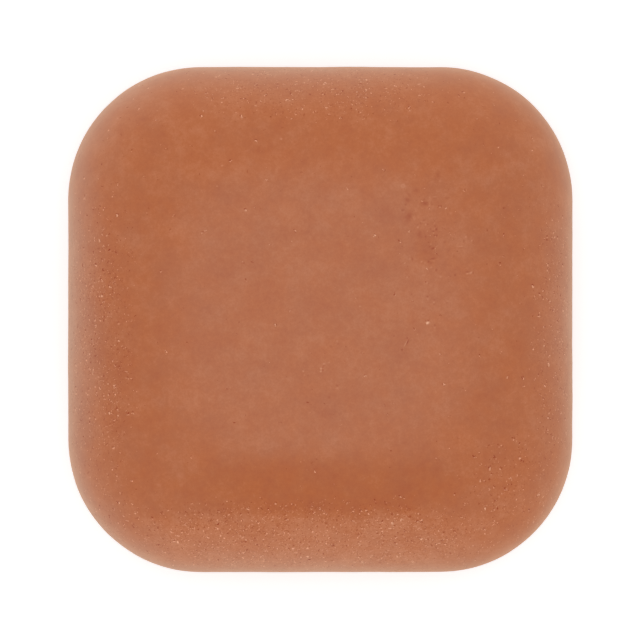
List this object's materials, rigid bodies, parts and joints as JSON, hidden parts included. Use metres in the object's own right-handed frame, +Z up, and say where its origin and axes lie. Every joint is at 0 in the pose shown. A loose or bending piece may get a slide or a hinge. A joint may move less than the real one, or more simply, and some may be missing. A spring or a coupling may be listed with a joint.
{
  "type": "hair mask bar",
  "caption": "Solid hair mask bar: a rounded square of reddish brown product with a flat top, wide soft shoulders all round, upright sides and a flat base that it rests on.",
  "frame": {"origin": "middle of the flat base, on the surface that the bar lies on", "axes": "+Z up through the flat top, +X across the width, to the right of the picture, +Y along the length, to the top of the picture"},
  "size_m": [0.06, 0.0602, 0.02],
  "materials": {
    "hair_mask": "waxy satin, fine grain of small pits and specks on the shoulders and sides"
  },
  "bodies": {
    "root": {"hair_mask_bar": "hair_mask"}
  },
  "joints": []
}
